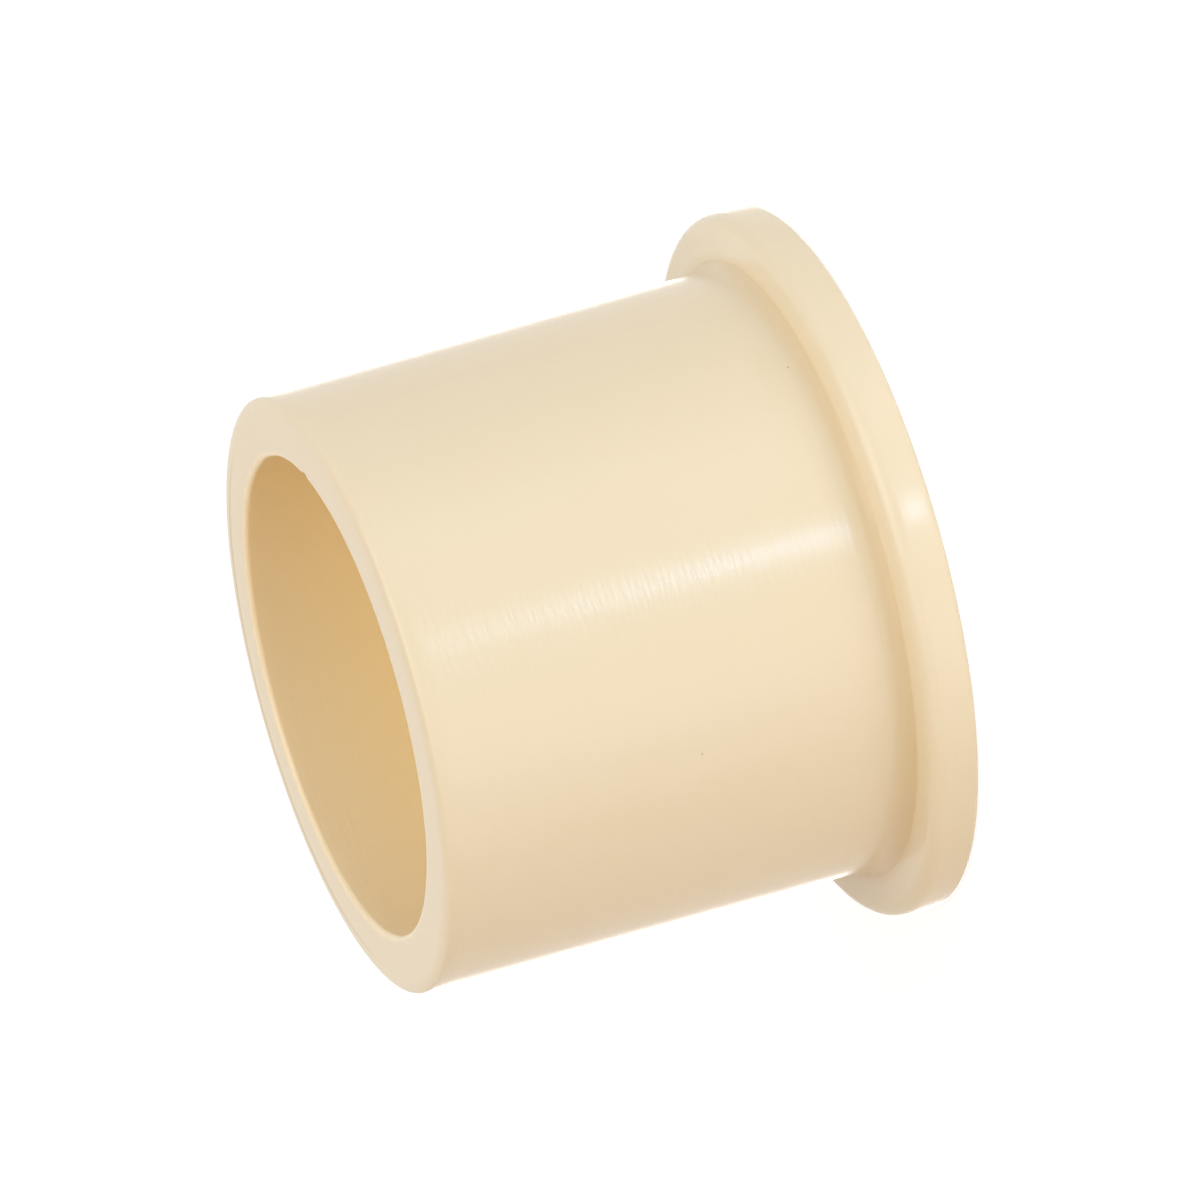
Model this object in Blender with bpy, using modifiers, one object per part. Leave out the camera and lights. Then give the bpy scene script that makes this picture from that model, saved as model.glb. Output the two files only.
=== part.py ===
"""Reducing bushing for plastic water pipe, spigot by socket, moulded in one piece.

Metres, +Z up. The bushing stands on the flat outer face of its flange. The origin is
the centre of that face, and +Z runs up the common axis to the open end of the spigot.
The spigot goes into a 1 inch fitting, and the socket takes a 1/2 inch pipe.
"""

import math

import bpy

MM = 0.001

# Spigot, the plug that is cemented into the larger fitting
SPIGOT_LENGTH = 22.8 * MM
SPIGOT_TIP_DIAMETER = 28.4 * MM
SPIGOT_TAPER = math.radians(0.48)
SPIGOT_TIP_ROUND_LENGTH = 0.3 * MM
SPIGOT_TIP_ROUND_WIDTH = 0.7 * MM

# Cavity that lightens the spigot from its open end
CAVITY_WALL = 2.8 * MM
CAVITY_TAPER = math.radians(1.0)
CAVITY_MOUTH_ROUND = 0.26 * MM
CAVITY_FLOOR_FILLET = 1.4 * MM

# Flange that stops against the rim of the larger fitting
FLANGE_THICKNESS = 2.25 * MM
FLANGE_OVERHANG = 2.5 * MM
FLANGE_LIP_ROUND = 0.7 * MM
FLANGE_BACK_ROUND = 0.27 * MM
ROOT_FILLET_LENGTH = 1.2 * MM
ROOT_FILLET_WIDTH = 0.42 * MM

# Socket for the smaller pipe, open at the flange
SOCKET_MOUTH_DIAMETER = 16.08 * MM
SOCKET_DEPTH = 12.7 * MM
SOCKET_TAPER = math.radians(0.8)
SOCKET_LEAD_WIDTH = 0.5 * MM
SOCKET_LEAD_LENGTH = 0.8 * MM
SOCKET_FLOOR_FILLET = 0.3 * MM

# Pipe stop between socket and cavity, with the waterway through it
STOP_WIDTH = 1.65 * MM
STOP_THICKNESS = 2.0 * MM
STOP_EDGE_ROUND = 0.4 * MM

EDGE_BREAK = 0.12 * MM

STEPS_AROUND = 96
BREAK_STEPS = 2
SMALL_ROUND_STEPS = 3
ROUND_STEPS = 4
FILLET_STEPS = 6
MERGE_DISTANCE = 1e-6

COLLECTION_NAME = "reducing_bushing"
BODY_NAME = "bushing_body"
CREAM = (0.84, 0.69, 0.48, 1.0)
CREAM_ROUGHNESS = 0.36


def clear_scene():
    for obj in list(bpy.data.objects):
        bpy.data.objects.remove(obj, do_unlink=True)


def corner(radius, height, before=0.0, after=0.0, steps=0):
    """A corner of the section, with the lengths that its rounding takes from the edges before and after it.

    Without steps the corner stays as it is.
    """
    return {"at": (radius, height), "before": before, "after": after, "steps": steps}


def outer_corners():
    """The outside, from the spigot's open end down to the flange's outer face."""
    shoulder = FLANGE_THICKNESS
    tip = shoulder + SPIGOT_LENGTH
    tip_radius = SPIGOT_TIP_DIAMETER / 2
    wall_radius = tip_radius + (SPIGOT_LENGTH - ROOT_FILLET_LENGTH) * math.tan(SPIGOT_TAPER)
    flange_radius = tip_radius + SPIGOT_LENGTH * math.tan(SPIGOT_TAPER) + FLANGE_OVERHANG
    return [
        corner(tip_radius, tip, SPIGOT_TIP_ROUND_WIDTH, SPIGOT_TIP_ROUND_LENGTH, ROUND_STEPS),
        *root_fillet(wall_radius, shoulder),
        corner(flange_radius, shoulder, FLANGE_LIP_ROUND, FLANGE_LIP_ROUND, ROUND_STEPS),
        corner(flange_radius, 0, FLANGE_BACK_ROUND, FLANGE_BACK_ROUND, SMALL_ROUND_STEPS),
    ]


def root_fillet(wall_radius, shoulder):
    """The arc at the spigot's root, smooth at the spigot's wall and creased at the flange's shoulder."""
    arc_radius = (ROOT_FILLET_LENGTH**2 + ROOT_FILLET_WIDTH**2) / (2 * ROOT_FILLET_WIDTH)
    sweep = 2 * math.atan(ROOT_FILLET_WIDTH / ROOT_FILLET_LENGTH)
    corners = []
    for k in range(FILLET_STEPS + 1):
        angle = sweep * k / FILLET_STEPS
        out = arc_radius * (1 - math.cos(angle))
        down = arc_radius * math.sin(angle)
        corners.append(corner(wall_radius + out, shoulder + ROOT_FILLET_LENGTH - down))
    return corners


def socket_corners():
    """The socket and the pipe stop, from the flange's outer face up to the waterway."""
    mouth_radius = SOCKET_MOUTH_DIAMETER / 2
    floor_radius = mouth_radius - SOCKET_DEPTH * math.tan(SOCKET_TAPER)
    return [
        corner(mouth_radius + SOCKET_LEAD_WIDTH, 0, EDGE_BREAK, EDGE_BREAK, BREAK_STEPS),
        corner(mouth_radius, SOCKET_LEAD_LENGTH, EDGE_BREAK, EDGE_BREAK, BREAK_STEPS),
        corner(floor_radius, SOCKET_DEPTH, SOCKET_FLOOR_FILLET, SOCKET_FLOOR_FILLET, BREAK_STEPS),
        corner(waterway_radius(), SOCKET_DEPTH, EDGE_BREAK, EDGE_BREAK, BREAK_STEPS),
    ]


def waterway_radius():
    floor_radius = SOCKET_MOUTH_DIAMETER / 2 - SOCKET_DEPTH * math.tan(SOCKET_TAPER)
    return floor_radius - STOP_WIDTH


def cavity_corners():
    """The waterway's upper rim and the cavity, up to the spigot's open end."""
    floor = SOCKET_DEPTH + STOP_THICKNESS
    tip = FLANGE_THICKNESS + SPIGOT_LENGTH
    mouth_radius = SPIGOT_TIP_DIAMETER / 2 - CAVITY_WALL
    floor_radius = mouth_radius - (tip - floor) * math.tan(CAVITY_TAPER)
    return [
        corner(waterway_radius(), floor, STOP_EDGE_ROUND, STOP_EDGE_ROUND, SMALL_ROUND_STEPS),
        corner(floor_radius, floor, CAVITY_FLOOR_FILLET, CAVITY_FLOOR_FILLET, FILLET_STEPS),
        corner(mouth_radius, tip, CAVITY_MOUTH_ROUND, CAVITY_MOUTH_ROUND, ROUND_STEPS),
    ]


def rounded(corners):
    """The closed outline, with a tangent quarter of an ellipse for each corner that has steps.

    Where the roundings at both ends of an edge would meet, each takes its share of the edge.
    """
    count = len(corners)
    lengths = [math.dist(corners[i]["at"], corners[(i + 1) % count]["at"]) for i in range(count)]
    shares = []
    for i, length in enumerate(lengths):
        wanted = corners[i]["after"] + corners[(i + 1) % count]["before"]
        shares.append(min(1.0, length / wanted) if wanted > 0 else 1.0)
    outline = []
    for i, this in enumerate(corners):
        if this["steps"] == 0:
            outline.append(this["at"])
            continue
        start = toward(this["at"], corners[i - 1]["at"], this["before"] * shares[i - 1])
        end = toward(this["at"], corners[(i + 1) % count]["at"], this["after"] * shares[i])
        outline += quarter_ellipse(start, this["at"], end, this["steps"])
    return outline


def toward(point, other, distance):
    share = distance / math.dist(point, other)
    return tuple(a + (b - a) * share for a, b in zip(point, other))


def quarter_ellipse(start, apex, end, steps):
    """Points from start to end, tangent at each to the line that runs to the apex."""
    points = []
    for k in range(steps + 1):
        angle = math.pi / 2 * k / steps
        points.append(
            tuple(
                c + (a - c) * (1 - math.sin(angle)) + (b - c) * (1 - math.cos(angle))
                for a, c, b in zip(start, apex, end)
            )
        )
    return points


def section_mesh(name, outline):
    """The closed section outline as a wire at +X, ready to be turned about Z."""
    mesh = bpy.data.meshes.new(name)
    vertices = [(radius, 0, height) for radius, height in outline]
    edges = [(i, (i + 1) % len(outline)) for i in range(len(outline))]
    mesh.from_pydata(vertices, edges, [])
    return mesh


def turned(name, outline, collection):
    """A ring-shaped solid turned about Z, smooth shaded with its flats kept flat."""
    obj = bpy.data.objects.new(name, section_mesh(name, outline))
    collection.objects.link(obj)
    screw = obj.modifiers.new("Turn", "SCREW")
    screw.axis = "Z"
    screw.steps = STEPS_AROUND
    screw.render_steps = STEPS_AROUND
    screw.use_merge_vertices = True
    screw.merge_threshold = MERGE_DISTANCE
    screw.use_smooth_shade = True
    obj.modifiers.new("Flat faces stay flat", "WEIGHTED_NORMAL")
    return obj


def cream_plastic():
    """Satin cream plastic, as moulded hot and cold water fittings have."""
    material = bpy.data.materials.new("cream_plastic")
    material.use_nodes = True
    material.diffuse_color = CREAM
    shader = material.node_tree.nodes["Principled BSDF"]
    shader.inputs["Base Color"].default_value = CREAM
    shader.inputs["Roughness"].default_value = CREAM_ROUGHNESS
    shader.inputs["Metallic"].default_value = 0.0
    return material


def build():
    clear_scene()
    collection = bpy.data.collections.new(COLLECTION_NAME)
    bpy.context.scene.collection.children.link(collection)
    outline = rounded(outer_corners() + socket_corners() + cavity_corners())
    body = turned(BODY_NAME, outline, collection)
    body.data.materials.append(cream_plastic())


build()
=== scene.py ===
import math

import bpy
from mathutils import Matrix, Vector, noise


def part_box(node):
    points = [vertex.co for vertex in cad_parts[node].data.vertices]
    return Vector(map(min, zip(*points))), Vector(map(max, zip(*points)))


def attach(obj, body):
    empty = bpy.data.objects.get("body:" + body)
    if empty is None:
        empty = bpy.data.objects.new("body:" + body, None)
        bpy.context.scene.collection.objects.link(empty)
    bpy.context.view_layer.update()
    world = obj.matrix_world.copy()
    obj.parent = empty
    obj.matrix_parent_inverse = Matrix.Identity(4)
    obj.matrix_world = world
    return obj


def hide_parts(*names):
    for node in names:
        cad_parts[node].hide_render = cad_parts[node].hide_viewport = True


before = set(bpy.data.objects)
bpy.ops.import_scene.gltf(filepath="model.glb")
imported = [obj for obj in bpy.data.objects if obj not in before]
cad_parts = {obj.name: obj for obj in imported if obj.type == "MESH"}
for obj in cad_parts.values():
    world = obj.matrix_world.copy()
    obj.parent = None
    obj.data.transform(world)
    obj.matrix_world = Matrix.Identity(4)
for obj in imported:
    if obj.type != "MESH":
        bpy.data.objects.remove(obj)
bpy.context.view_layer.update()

MM = 0.001
NODE = "bushing_body"
CAD_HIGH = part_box(NODE)[1]

# Spigot, with its open end at the top of the frame's box
TIP_HEIGHT = CAD_HIGH.z
SPIGOT_TIP_RADIUS = 14.2 * MM
SPIGOT_TAPER = math.radians(0.48)
TIP_ROUND_LENGTH = 0.3 * MM
TIP_ROUND_WIDTH = 0.7 * MM

# Cavity of the spigot
CAVITY_WALL = 2.8 * MM
CAVITY_MOUTH_RADIUS = SPIGOT_TIP_RADIUS - CAVITY_WALL
CAVITY_TAPER = math.radians(1.0)
CAVITY_MOUTH_ROUND = 0.26 * MM
CAVITY_FLOOR_FILLET = 1.4 * MM
CAVITY_FLOOR_HEIGHT = 14.7 * MM

# Flange, as wide as the frame's box
FLANGE_RADIUS = CAD_HIGH.x
FLANGE_THICKNESS = 2.25 * MM
FLANGE_LIP_ROUND = 0.7 * MM
FLANGE_BACK_ROUND = 0.27 * MM
ROOT_FILLET_LENGTH = 1.2 * MM
ROOT_FILLET_WIDTH = 0.42 * MM

# Socket and pipe stop
SOCKET_MOUTH_RADIUS = 8.04 * MM
SOCKET_DEPTH = 12.7 * MM
SOCKET_TAPER = math.radians(0.8)
SOCKET_LEAD_WIDTH = 0.5 * MM
SOCKET_LEAD_LENGTH = 0.8 * MM
SOCKET_FLOOR_FILLET = 0.3 * MM
STOP_WIDTH = 1.65 * MM
STOP_EDGE_ROUND = 0.4 * MM
EDGE_BREAK = 0.12 * MM

# Fineness of the mesh
STEPS_AROUND = 360
ROUND_STEPS = 8
BREAK_STEPS = 4
LONGEST_ROW = 0.8 * MM
MERGE_DISTANCE = 1e-6
CREASE_ANGLE = math.radians(35)

# Uneven edge of the cavity's mouth: its waves, each as share and number per radius, and one nick
BORE_EDGE_WOBBLE = 0.035 * MM
BORE_EDGE_REACH = 0.45 * MM
BORE_EDGE_WAVES = ((0.6, 6.0), (0.4, 38.0))
NICK_AZIMUTH = math.radians(-60.8)
NICK_SPREAD = math.radians(1.6)
NICK_DEPTH = 0.16 * MM

# Slow waviness of the walls, with its waves per metre along each axis
BODY_WAVE = 0.012 * MM
BODY_WAVES = (130, 130, 60)

# Plastic: linear colours and gloss
CREAM = (0.79, 0.685, 0.495, 1.0)
CREAM_WARM = (0.785, 0.68, 0.485, 1.0)
CREAM_PALE = (0.79, 0.69, 0.505, 1.0)
PALE_SHARE = 0.6
GLOSS_ROUGHNESS = (0.21, 0.25)
PLASTIC_IOR = 1.38

# Plastic: noise, each with its waves per metre along each axis and its detail
FLOW_STREAKS = {"waves": (260, 260, 45), "detail": 2.0}
MOTTLE = {"waves": (420, 420, 420), "detail": 3.0}
RAGGED_EDGE = {"waves": (1400, 1400, 1400), "detail": 3.0}
RING_MARKS = {"waves": (650, 650, 4200), "detail": 2.0}
PEEL = {"waves": (2600, 2600, 2600), "detail": 2.0}

# Plastic: the values of the noise between which each effect grows from none to all
WARM_BETWEEN = (0.35, 0.65)
PALE_BETWEEN = (0.45, 0.8)
GLOSS_BETWEEN = (0.3, 0.7)
RAGGED_BETWEEN = (0.25, 0.75)

# Plastic: depth of its fine relief
RING_DEPTH = 0.008 * MM
PEEL_DEPTH = 0.004 * MM

# Painted shade: a tan darkening of the crease between spigot and flange, where shade falls, which
# starts just below the shoulder
CREASE_SHADE_CREAM = (0.775, 0.63, 0.40, 1.0)
CREASE_REACH_UP = 1.1 * MM
CREASE_REACH_OUT = 0.45 * MM
CREASE_START_BELOW = 0.2 * MM
CREASE_FULL_BELOW = 0.1 * MM

# Painted shade of the bores: a warmer, deeper colour for the shade and bounced light inside them,
# paler near the cavity's mouth
CAVITY_SHADE_CREAM = (0.93, 0.77, 0.465, 1.0)
MOUTH_SHADE_CREAM = (0.905, 0.775, 0.53, 1.0)
MOUTH_REACH = 7.0 * MM
BORE_SHADE_EDGE_WOBBLE = 0.16 * MM
BORE_SHADE_EDGE_WIDTH = 0.16 * MM

# Painted shade: a fine tan line on the far side of the tip's rounding, which fades in between two
# distances behind the axis
TIP_SHADE_TAN = (0.60, 0.45, 0.25, 1.0)
TIP_LINE_RADIUS = 13.32 * MM
TIP_LINE_WIDTH = 0.19 * MM
TIP_LINE_FADE = (5.0 * MM, 11.0 * MM)

# Dark inclusions, each as azimuth in degrees and height
SPECKS = (
    (-45.7, 2.6 * MM),
    (-38.2, 3.2 * MM),
    (29.2, 12.4 * MM),
    (132.0, 17.0 * MM),
    (-150.0, 8.0 * MM),
)
SPECK_BROWN = (0.34, 0.24, 0.13, 1.0)
SPECK_SHARE = 0.5
SPECK_RADIUS = 0.07 * MM

# Places of the colour sockets in a Mix node
MIX_FIRST, MIX_SECOND, MIX_RESULT = 6, 7, 2

# Floor: its colour for the light that it returns, and its shadow and glow where it is seen
FLOOR_WHITE = (0.90, 0.90, 0.90, 1.0)
SHADOW_WHITE = (0.25, 0.25, 0.25, 1.0)
FLOOR_GLOW = 0.85
FLOOR_HALF_WIDTH = 3.0
FLOOR_GAP = 0.02 * MM

# Light of the room, from the side of -X through the middle to the side of +X
ROOM_LIGHT = ((0.54, 0.28, 0.07, 1.0), (0.42, 0.42, 0.38, 1.0), (0.55, 0.49, 0.50, 1.0))

# Lamps: place, width and height in metres, colour, and level, where 1 lights a facing white to white
PLAIN = (1.0, 1.0, 1.0)
WARM = (1.0, 0.93, 0.80)
COOL = (0.38, 0.64, 1.0)
LAMPS = {
    "overhead_lamp": ((0.18, -0.16, 0.60), 0.45, 0.45, PLAIN, 0.37),
    "front_lamp": ((0.00, -0.30, 0.52), 0.50, 0.40, PLAIN, 0.19),
    "left_lamp": ((-0.34, -0.30, 0.34), 0.40, 0.40, WARM, 0.06),
}

# Lamps below the floor's level, whose light the floor lets pass, as clear glass would
LOW_LAMPS = {
    "low_front_lamp": ((0.05, -0.44, -0.22), 1.20, 0.30, PLAIN, 0.34),
    "low_right_lamp": ((0.36, -0.28, -0.22), 0.40, 0.30, PLAIN, 0.03),
    "low_left_lamp": ((-0.36, -0.38, -0.20), 0.50, 0.30, PLAIN, 0.07),
    "low_back_lamp": ((0.00, 0.50, -0.16), 0.36, 0.20, PLAIN, 0.16),
    "streak_lamp": ((0.0442, -0.3148, -0.0895), 0.02, 0.03, COOL, 0.115),
}

# Camera, at the viewing angle of the photograph
LENS = 443.6
SENSOR_WIDTH = 36.0
CAMERA_ELEVATION = math.radians(15.72)
CAMERA_ROLL = math.radians(-105.64)
CAMERA_DISTANCE = 682.6 * MM
CAMERA_AIM = Vector((1.0 * MM, 0.0, 11.57 * MM))


def corner(radius, height, before=0.0, after=0.0, steps=0):
    """A corner of the section, with the lengths that its rounding takes from the edges at it."""
    return {"at": (radius, height), "before": before, "after": after, "steps": steps}


def evenly_rounded(radius, height, size, steps):
    """A corner of the section whose rounding takes the same length from both edges."""
    return corner(radius, height, size, size, steps)


def wall_radius(height):
    """The radius of the spigot's tapered wall at a height."""
    return SPIGOT_TIP_RADIUS + (TIP_HEIGHT - height) * math.tan(SPIGOT_TAPER)


def root_fillet_corners():
    """The arc that leaves the spigot smoothly and meets the flange's shoulder at a crease."""
    radius = (ROOT_FILLET_LENGTH**2 + ROOT_FILLET_WIDTH**2) / (2 * ROOT_FILLET_WIDTH)
    sweep = 2 * math.atan(ROOT_FILLET_WIDTH / ROOT_FILLET_LENGTH)
    top = FLANGE_THICKNESS + ROOT_FILLET_LENGTH
    points = []
    for k in range(ROUND_STEPS + 1):
        angle = sweep * k / ROUND_STEPS
        out = radius * (1 - math.cos(angle))
        points.append(corner(wall_radius(top) + out, top - radius * math.sin(angle)))
    return points


def outer_corners():
    """The outside, from the spigot's open end down to the flange's outer face."""
    tip = corner(SPIGOT_TIP_RADIUS, TIP_HEIGHT, TIP_ROUND_WIDTH, TIP_ROUND_LENGTH, ROUND_STEPS)
    lip = evenly_rounded(FLANGE_RADIUS, FLANGE_THICKNESS, FLANGE_LIP_ROUND, ROUND_STEPS)
    back = evenly_rounded(FLANGE_RADIUS, 0.0, FLANGE_BACK_ROUND, ROUND_STEPS)
    return [tip] + root_fillet_corners() + [lip, back]


def inner_corners():
    """The socket, the pipe stop and the cavity, from the flange's face up to the open end."""
    socket_floor_radius = SOCKET_MOUTH_RADIUS - SOCKET_DEPTH * math.tan(SOCKET_TAPER)
    waterway = socket_floor_radius - STOP_WIDTH
    cavity_depth = TIP_HEIGHT - CAVITY_FLOOR_HEIGHT
    cavity_floor_radius = CAVITY_MOUTH_RADIUS - cavity_depth * math.tan(CAVITY_TAPER)
    return [
        evenly_rounded(SOCKET_MOUTH_RADIUS + SOCKET_LEAD_WIDTH, 0.0, EDGE_BREAK, BREAK_STEPS),
        evenly_rounded(SOCKET_MOUTH_RADIUS, SOCKET_LEAD_LENGTH, EDGE_BREAK, BREAK_STEPS),
        evenly_rounded(socket_floor_radius, SOCKET_DEPTH, SOCKET_FLOOR_FILLET, BREAK_STEPS),
        evenly_rounded(waterway, SOCKET_DEPTH, EDGE_BREAK, BREAK_STEPS),
        evenly_rounded(waterway, CAVITY_FLOOR_HEIGHT, STOP_EDGE_ROUND, BREAK_STEPS),
        evenly_rounded(cavity_floor_radius, CAVITY_FLOOR_HEIGHT, CAVITY_FLOOR_FILLET, ROUND_STEPS),
        evenly_rounded(CAVITY_MOUTH_RADIUS, TIP_HEIGHT, CAVITY_MOUTH_ROUND, ROUND_STEPS),
    ]


def toward(point, other, distance):
    """The point that lies a distance from one point on the way to another."""
    share = distance / math.dist(point, other)
    return tuple(a + (b - a) * share for a, b in zip(point, other))


def quarter_ellipse(start, apex, end, steps):
    """Points from start to end, tangent at each to the line that runs to the apex."""
    points = []
    for k in range(steps + 1):
        angle = math.pi / 2 * k / steps
        from_start = 1 - math.sin(angle)
        from_end = 1 - math.cos(angle)
        along_axes = zip(start, apex, end)
        points.append(tuple(c + (a - c) * from_start + (b - c) * from_end for a, c, b in along_axes))
    return points


def rounded(corners):
    """The closed outline, with each corner that has steps replaced by a quarter of an ellipse."""
    outline = []
    for i, this in enumerate(corners):
        if this["steps"] == 0:
            outline.append(this["at"])
            continue
        start = toward(this["at"], corners[i - 1]["at"], this["before"])
        end = toward(this["at"], corners[(i + 1) % len(corners)]["at"], this["after"])
        outline += quarter_ellipse(start, this["at"], end, this["steps"])
    return outline


def with_rows(outline):
    """The outline with its long edges divided, so that the small flaws have vertices to move."""
    points = []
    for i, here in enumerate(outline):
        there = outline[(i + 1) % len(outline)]
        parts = max(1, math.ceil(math.dist(here, there) / LONGEST_ROW))
        for k in range(parts):
            points.append(tuple(a + (b - a) * k / parts for a, b in zip(here, there)))
    return points


def turned_mesh(name, outline):
    """The outline turned about Z by a Screw modifier, as a plain mesh."""
    wire = bpy.data.meshes.new(name + "_section")
    edges = [(i, (i + 1) % len(outline)) for i in range(len(outline))]
    wire.from_pydata([(radius, 0.0, height) for radius, height in outline], edges, [])
    turner = bpy.data.objects.new(name + "_turner", wire)
    bpy.context.scene.collection.objects.link(turner)
    screw = turner.modifiers.new("Turn", "SCREW")
    screw.steps = STEPS_AROUND
    screw.render_steps = STEPS_AROUND
    screw.use_merge_vertices = True
    screw.merge_threshold = MERGE_DISTANCE
    screw.use_smooth_shade = True
    seen = turner.evaluated_get(bpy.context.evaluated_depsgraph_get())
    mesh = bpy.data.meshes.new_from_object(seen)
    mesh.name = name
    bpy.data.objects.remove(turner, do_unlink=True)
    bpy.data.meshes.remove(wire)
    return mesh


def azimuth_of(point):
    """The angle about Z, with 0 on the camera's side and -90 degrees at +X."""
    return math.atan2(-point.x, -point.y)


def bump_shape(distance, spread):
    """A smooth bump, one at no distance and falling to nought over a few spreads."""
    return math.exp(-((distance / spread) ** 2))


def bore_edge_shift(point, radius):
    """How far a point at the cavity's mouth moves outward: an uneven edge, and one nick."""
    away = math.hypot(radius - CAVITY_MOUTH_RADIUS, point.z - TIP_HEIGHT)
    reach = bump_shape(away, BORE_EDGE_REACH)
    around = Vector((point.x, point.y, 0.0)).normalized()
    wobble = sum(share * noise.noise(around * waves) for share, waves in BORE_EDGE_WAVES)
    nick = bump_shape(azimuth_of(point) - NICK_AZIMUTH, NICK_SPREAD)
    return reach * (BORE_EDGE_WOBBLE * wobble + NICK_DEPTH * nick)


def body_shift(point):
    """The slow waviness of a moulded wall."""
    place = Vector([along * waves for along, waves in zip(point, BODY_WAVES)])
    return BODY_WAVE * noise.noise(place)


def add_flaws(mesh):
    """Moves the vertices of the turned mesh by the small flaws of a real moulding."""
    for vertex in mesh.vertices:
        point = vertex.co
        radius = math.hypot(point.x, point.y)
        shift = bore_edge_shift(point, radius) - abs(body_shift(point))
        scale = (radius + shift) / radius
        vertex.co = (point.x * scale, point.y * scale, point.z)


def add_node(material, kind, **settings):
    """A new node of a material, with its settings."""
    node = material.node_tree.nodes.new(kind)
    for name, value in settings.items():
        setattr(node, name, value)
    return node


def link(material, source, target):
    """Joins two sockets of a material's nodes."""
    material.node_tree.links.new(source, target)


def stretched_noise(material, waves, detail):
    """Noise over the object's own coordinates, with its own waves per metre along each axis."""
    place = add_node(material, "ShaderNodeTexCoord")
    mapping = add_node(material, "ShaderNodeMapping")
    mapping.inputs["Scale"].default_value = waves
    texture = add_node(material, "ShaderNodeTexNoise")
    texture.inputs["Scale"].default_value = 1.0
    texture.inputs["Detail"].default_value = detail
    link(material, place.outputs["Object"], mapping.inputs["Vector"])
    link(material, mapping.outputs["Vector"], texture.inputs["Vector"])
    return texture.outputs["Fac"]


def spread_over(material, value, low, high, to_low=0.0, to_high=1.0):
    """The value stretched from low..high to to_low..to_high, and held at the ends."""
    ramp = add_node(material, "ShaderNodeMapRange", clamp=True)
    ramp.inputs["From Min"].default_value = low
    ramp.inputs["From Max"].default_value = high
    ramp.inputs["To Min"].default_value = to_low
    ramp.inputs["To Max"].default_value = to_high
    link(material, value, ramp.inputs["Value"])
    return ramp.outputs["Result"]


def computed(material, operation, first, second):
    """Two values joined by one step of arithmetic."""
    step = add_node(material, "ShaderNodeMath", operation=operation)
    link(material, first, step.inputs[0])
    link(material, second, step.inputs[1])
    return step.outputs["Value"]


def mixed(material, share, first, second):
    """A colour between two, each a fixed colour or a socket."""
    mix = add_node(material, "ShaderNodeMix", data_type="RGBA")
    link(material, share, mix.inputs["Factor"])
    for colour, target in ((first, mix.inputs[MIX_FIRST]), (second, mix.inputs[MIX_SECOND])):
        if isinstance(colour, tuple):
            target.default_value = colour
        else:
            link(material, colour, target)
    return mix.outputs[MIX_RESULT]


def along_axis(material, axis):
    """The coordinate of each point of the surface along X, Y or Z."""
    place = add_node(material, "ShaderNodeTexCoord")
    axes = add_node(material, "ShaderNodeSeparateXYZ")
    link(material, place.outputs["Object"], axes.inputs["Vector"])
    return axes.outputs[axis]


def radius_of_surface(material):
    """The distance of each point of the surface from the common axis."""
    place = add_node(material, "ShaderNodeTexCoord")
    flat = add_node(material, "ShaderNodeVectorMath", operation="MULTIPLY")
    flat.inputs[1].default_value = (1.0, 1.0, 0.0)
    radius = add_node(material, "ShaderNodeVectorMath", operation="LENGTH")
    link(material, place.outputs["Object"], flat.inputs[0])
    link(material, flat.outputs["Vector"], radius.inputs[0])
    return radius.outputs["Value"]


def bore_shade_mask(material):
    """One on the bores, where their shade and bounced light are painted, and nought outside."""
    socket_edge = SOCKET_MOUTH_RADIUS + SOCKET_LEAD_WIDTH
    height = along_axis(material, "Z")
    edge = spread_over(
        material, height, SOCKET_DEPTH / 2, SOCKET_DEPTH, socket_edge, CAVITY_MOUTH_RADIUS
    )
    outward = computed(material, "SUBTRACT", radius_of_surface(material), edge)
    ragged = stretched_noise(material, **RAGGED_EDGE)
    half = BORE_SHADE_EDGE_WOBBLE / 2
    shift = spread_over(material, ragged, *RAGGED_BETWEEN, -half, half)
    uneven = computed(material, "ADD", outward, shift)
    bore_shade_end = BORE_SHADE_EDGE_WOBBLE + BORE_SHADE_EDGE_WIDTH
    return spread_over(material, uneven, BORE_SHADE_EDGE_WOBBLE, bore_shade_end, 1.0, 0.0)


def tip_shade_line_mask(material):
    """One on the fine line of painted shade round the far side of the spigot's tip, and nought
    elsewhere.
    """
    radius = radius_of_surface(material)
    low, high = TIP_LINE_RADIUS - TIP_LINE_WIDTH, TIP_LINE_RADIUS + TIP_LINE_WIDTH
    inner = spread_over(material, radius, low, TIP_LINE_RADIUS)
    outer = spread_over(material, radius, TIP_LINE_RADIUS, high, 1.0, 0.0)
    far = spread_over(material, along_axis(material, "Y"), *TIP_LINE_FADE)
    height = along_axis(material, "Z")
    top = spread_over(material, height, TIP_HEIGHT / 2, TIP_HEIGHT - TIP_ROUND_LENGTH)
    line = computed(material, "MULTIPLY", inner, outer)
    return computed(material, "MULTIPLY", line, computed(material, "MULTIPLY", far, top))


def crease_shade_mask(material):
    """One along the crease of spigot and flange, where its shade is painted, and nought a short way
    up and out from it.
    """
    height = along_axis(material, "Z")
    radius = radius_of_surface(material)
    shoulder = FLANGE_THICKNESS
    crease_radius = wall_radius(shoulder + ROOT_FILLET_LENGTH) + ROOT_FILLET_WIDTH
    above = spread_over(material, height, shoulder, shoulder + CREASE_REACH_UP, 1.0, 0.0)
    out_to = crease_radius + CREASE_REACH_OUT
    outward = spread_over(material, radius, crease_radius, out_to, 1.0, 0.0)
    start, full = shoulder - CREASE_START_BELOW, shoulder - CREASE_FULL_BELOW
    on_shoulder = spread_over(material, height, start, full)
    corner_share = computed(material, "MULTIPLY", above, outward)
    return computed(material, "MULTIPLY", corner_share, on_shoulder)


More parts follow.
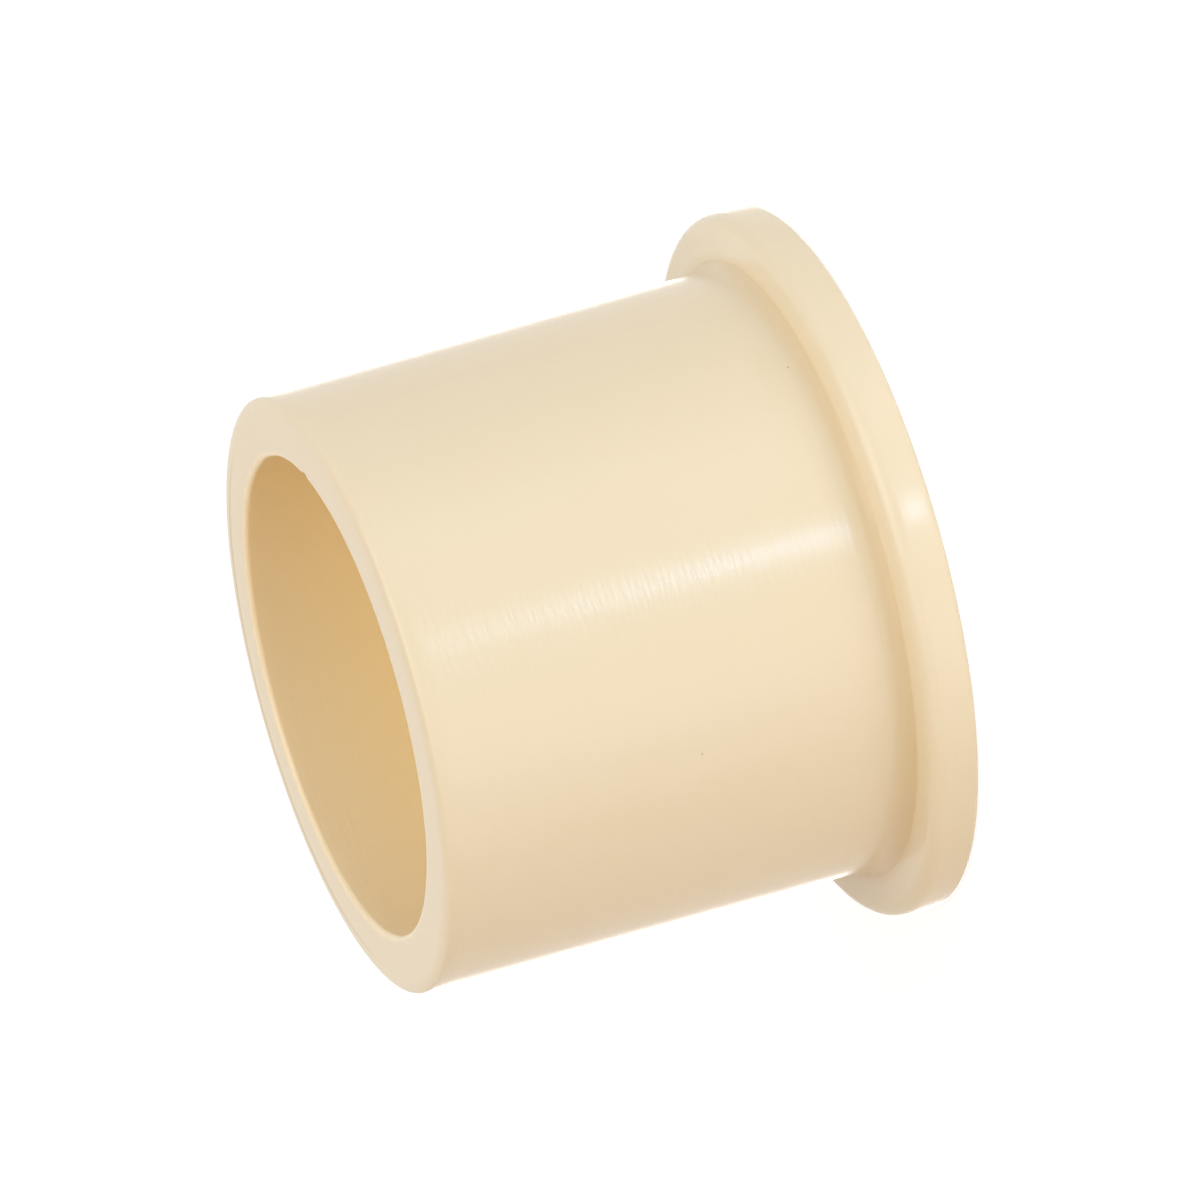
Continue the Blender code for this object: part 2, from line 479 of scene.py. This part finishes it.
def speck_mask(material):
    """How much of the dark colour of the few inclusions shows, and nought beside them."""
    place = add_node(material, "ShaderNodeTexCoord")
    either = None
    for degrees, height in SPECKS:
        azimuth = math.radians(degrees)
        radius = wall_radius(height)
        centre = (-radius * math.sin(azimuth), -radius * math.cos(azimuth), height)
        away = add_node(material, "ShaderNodeVectorMath", operation="DISTANCE")
        away.inputs[1].default_value = centre
        link(material, place.outputs["Object"], away.inputs[0])
        distance = away.outputs["Value"]
        near = spread_over(material, distance, SPECK_RADIUS / 2, SPECK_RADIUS, SPECK_SHARE, 0.0)
        either = near if either is None else computed(material, "MAXIMUM", either, near)
    return either


def bumped(material, height, distance, normal=None):
    """The surface's normal under a fine relief, laid over the relief of another normal if given."""
    node = add_node(material, "ShaderNodeBump")
    node.inputs["Distance"].default_value = distance
    link(material, height, node.inputs["Height"])
    if normal is not None:
        link(material, normal, node.inputs["Normal"])
    return node.outputs["Normal"]


def bore_shade_colour(material):
    """The painted shade of the bores, a warm colour for their bounced light, paler near the cavity's
    mouth.
    """
    height = along_axis(material, "Z")
    mouth = spread_over(material, height, TIP_HEIGHT - MOUTH_REACH, TIP_HEIGHT)
    return mixed(material, mouth, CAVITY_SHADE_CREAM, MOUTH_SHADE_CREAM)


def plastic_colour(material, mottle):
    """Cream with faint flow streaks and mottling and a few dark inclusions, with painted shade in the
    crease, in the bores and along the far side of the tip.
    """
    streaks = stretched_noise(material, **FLOW_STREAKS)
    warm_share = spread_over(material, streaks, *WARM_BETWEEN)
    warm = mixed(material, warm_share, CREAM, CREAM_WARM)
    pale_share = spread_over(material, mottle, *PALE_BETWEEN, 0.0, PALE_SHARE)
    pale = mixed(material, pale_share, warm, CREAM_PALE)
    # Painted shade in the crease between spigot and flange
    crease_shaded = mixed(material, crease_shade_mask(material), pale, CREASE_SHADE_CREAM)
    # Painted shade and bounced light in the bores
    bore_shaded = mixed(material, bore_shade_mask(material), crease_shaded, bore_shade_colour(material))
    # Painted shade line on the far side of the tip
    tip_shaded = mixed(material, tip_shade_line_mask(material), bore_shaded, TIP_SHADE_TAN)
    return mixed(material, speck_mask(material), tip_shaded, SPECK_BROWN)


def plastic_relief(material):
    """Fine ring marks round the wall, and a finer texture over all."""
    rings = bumped(material, stretched_noise(material, **RING_MARKS), RING_DEPTH)
    return bumped(material, stretched_noise(material, **PEEL), PEEL_DEPTH, rings)


def cream_plastic():
    """Satin cream plastic, as moulded hot and cold water fittings have."""
    material = bpy.data.materials.new("bushing_plastic")
    material.use_nodes = True
    shader = material.node_tree.nodes["Principled BSDF"]
    mottle = stretched_noise(material, **MOTTLE)
    roughness = spread_over(material, mottle, *GLOSS_BETWEEN, *GLOSS_ROUGHNESS)
    link(material, plastic_colour(material, mottle), shader.inputs["Base Color"])
    link(material, roughness, shader.inputs["Roughness"])
    link(material, plastic_relief(material), shader.inputs["Normal"])
    shader.inputs["IOR"].default_value = PLASTIC_IOR
    return material


def body():
    """The whole bushing, finer than the CAD solid that it stands for."""
    outline = with_rows(rounded(outer_corners() + inner_corners()))
    mesh = turned_mesh("bushing", outline)
    add_flaws(mesh)
    piece = bpy.data.objects.new("bushing", mesh)
    bpy.context.scene.collection.objects.link(piece)
    mesh.materials.append(cream_plastic())
    mesh.set_sharp_from_angle(angle=CREASE_ANGLE)
    flats = piece.modifiers.new("Flat faces stay flat", "WEIGHTED_NORMAL")
    flats.keep_sharp = True
    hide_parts(NODE)
    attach(piece, "root")


def seen_directly(tree):
    """One for what the camera sees, straight or mirrored, and nought for what lights the object."""
    path = tree.nodes.new("ShaderNodeLightPath")
    seen = path.outputs["Is Camera Ray"]
    for ray in ("Is Glossy Ray", "Is Transmission Ray"):
        either = tree.nodes.new("ShaderNodeMath")
        either.operation = "MAXIMUM"
        tree.links.new(seen, either.inputs[0])
        tree.links.new(path.outputs[ray], either.inputs[1])
        seen = either.outputs["Value"]
    return seen


def floor_white():
    """White with a light shadow where it is seen, and plain pale plastic for the light it returns."""
    material = bpy.data.materials.new("floor_white")
    material.use_nodes = True
    nodes = material.node_tree.nodes
    nodes.remove(nodes["Principled BSDF"])
    plain = add_node(material, "ShaderNodeBsdfDiffuse")
    plain.inputs["Color"].default_value = FLOOR_WHITE
    shadowed = add_node(material, "ShaderNodeBsdfDiffuse")
    shadowed.inputs["Color"].default_value = SHADOW_WHITE
    glow = add_node(material, "ShaderNodeEmission")
    glow.inputs["Strength"].default_value = FLOOR_GLOW
    seen = add_node(material, "ShaderNodeAddShader")
    choose = add_node(material, "ShaderNodeMixShader")
    link(material, shadowed.outputs["BSDF"], seen.inputs[0])
    link(material, glow.outputs["Emission"], seen.inputs[1])
    link(material, seen_directly(material.node_tree), choose.inputs["Fac"])
    link(material, plain.outputs["BSDF"], choose.inputs[1])
    link(material, seen.outputs["Shader"], choose.inputs[2])
    link(material, choose.outputs["Shader"], nodes["Material Output"].inputs["Surface"])
    return material


def floor():
    """A wide white floor just below the flange's face."""
    half = FLOOR_HALF_WIDTH
    mesh = bpy.data.meshes.new("floor")
    corners = [(-half, -half, 0), (half, -half, 0), (half, half, 0), (-half, half, 0)]
    mesh.from_pydata(corners, [], [(0, 1, 2, 3)])
    mesh.materials.append(floor_white())
    piece = bpy.data.objects.new("floor", mesh)
    piece.location.z = -FLOOR_GAP
    bpy.context.scene.collection.objects.link(piece)
    return piece


def soft_box(name, place, width, height, colour, level):
    """A rectangular lamp that faces the object and lights it to the given level."""
    data = bpy.data.lights.new(name, "AREA")
    data.shape = "RECTANGLE"
    data.size = width
    data.size_y = height
    data.color = colour
    data.energy = level * (math.pi * Vector(place).length) ** 2
    lamp = bpy.data.objects.new(name, data)
    lamp.location = place
    lamp.rotation_euler = (CAMERA_AIM - Vector(place)).to_track_quat("-Z", "Y").to_euler()
    lamp.visible_camera = False
    bpy.context.scene.collection.objects.link(lamp)
    return lamp


def studio_light(ground):
    """All the lamps, with the floor kept from shading those that stand below its level."""
    for name, settings in LAMPS.items():
        soft_box(name, *settings)
    for name, settings in LOW_LAMPS.items():
        lamp = soft_box(name, *settings)
        passed = bpy.data.collections.new("passed_by_" + name)
        passed.objects.link(ground)
        lamp.light_linking.blocker_collection = passed
        passed.collection_objects[0].light_linking.link_state = "EXCLUDE"


def room_colour(tree):
    """The colour of the room's light, graded from one side to the other."""
    direction = tree.nodes.new("ShaderNodeTexCoord")
    axes = tree.nodes.new("ShaderNodeSeparateXYZ")
    side = tree.nodes.new("ShaderNodeMapRange")
    side.inputs["From Min"].default_value = -1.0
    grade = tree.nodes.new("ShaderNodeValToRGB")
    stops = grade.color_ramp.elements
    stops.new(0.5)
    for stop, colour in zip(stops, ROOM_LIGHT):
        stop.color = colour
    tree.links.new(direction.outputs["Generated"], axes.inputs["Vector"])
    tree.links.new(axes.outputs["X"], side.inputs["Value"])
    tree.links.new(side.outputs["Result"], grade.inputs["Fac"])
    return grade.outputs["Color"]


def white_room():
    """White all round where it is seen, and a soft light on the object."""
    world = bpy.data.worlds.new("white_room")
    world.use_nodes = True
    bpy.context.scene.world = world
    tree = world.node_tree
    lit = tree.nodes["Background"]
    white = tree.nodes.new("ShaderNodeBackground")
    white.inputs["Color"].default_value = (1.0, 1.0, 1.0, 1.0)
    choose = tree.nodes.new("ShaderNodeMixShader")
    tree.links.new(room_colour(tree), lit.inputs["Color"])
    tree.links.new(seen_directly(tree), choose.inputs["Fac"])
    tree.links.new(lit.outputs["Background"], choose.inputs[1])
    tree.links.new(white.outputs["Background"], choose.inputs[2])
    tree.links.new(choose.outputs["Shader"], tree.nodes["World Output"].inputs["Surface"])


def camera():
    """A long lens, turned and rolled so that the standing bushing shows as in the photograph."""
    data = bpy.data.cameras.new("camera")
    data.lens = LENS
    data.sensor_width = SENSOR_WIDTH
    piece = bpy.data.objects.new("camera", data)
    tilt = Matrix.Rotation(math.pi / 2 - CAMERA_ELEVATION, 4, "X")
    turn = tilt @ Matrix.Rotation(CAMERA_ROLL, 4, "Z")
    back = turn @ Vector((0.0, 0.0, 1.0))
    piece.matrix_world = Matrix.Translation(CAMERA_AIM + back * CAMERA_DISTANCE) @ turn
    bpy.context.scene.collection.objects.link(piece)
    bpy.context.scene.camera = piece


body()
studio_light(floor())
white_room()
camera()
bpy.context.scene.view_settings.view_transform = "Standard"
